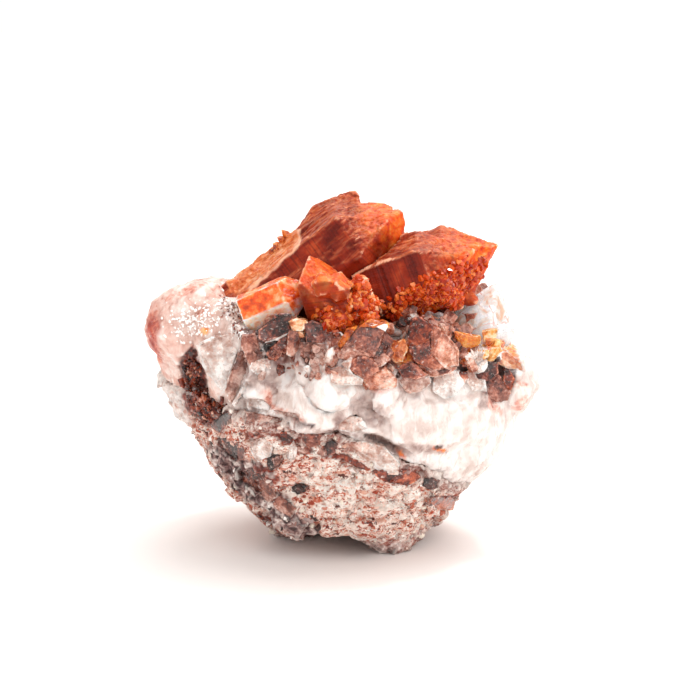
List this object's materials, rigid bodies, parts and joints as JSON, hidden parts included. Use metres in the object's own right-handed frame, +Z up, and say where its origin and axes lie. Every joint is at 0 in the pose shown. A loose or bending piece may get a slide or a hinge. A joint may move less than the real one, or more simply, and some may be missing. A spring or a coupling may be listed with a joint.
{
  "type": "quartz crystal specimen",
  "caption": "Free-standing natural hand specimen: hematite-red quartz crystals over milky and smoky quartz on a broken host rock that stands on small flat feet.",
  "frame": {"origin": "on the surface the specimen stands on, under the middle of its bounding box", "axes": "+Z up, -Y out of the side with the large crystals and the druse, +X to the right when that side is faced"},
  "size_m": [0.07, 0.055, 0.0632],
  "materials": {
    "host_rock": "rough broken rock",
    "milky_quartz": "broken, frosted and glassy in places",
    "red_quartz": "satin crystal faces with growth lines",
    "orange_quartz": "glossy crystal faces",
    "clear_quartz": "frosted, see-through"
  },
  "bodies": {
    "root": {"host_rock": "host_rock", "milky_quartz": "milky_quartz", "red_crystals_left": "red_quartz", "red_crystals_right": "red_quartz", "red_crystal_centre": "red_quartz", "orange_crystal": "orange_quartz", "orange_crystals_back": "orange_quartz", "clear_crystal": "clear_quartz"}
  },
  "joints": []
}
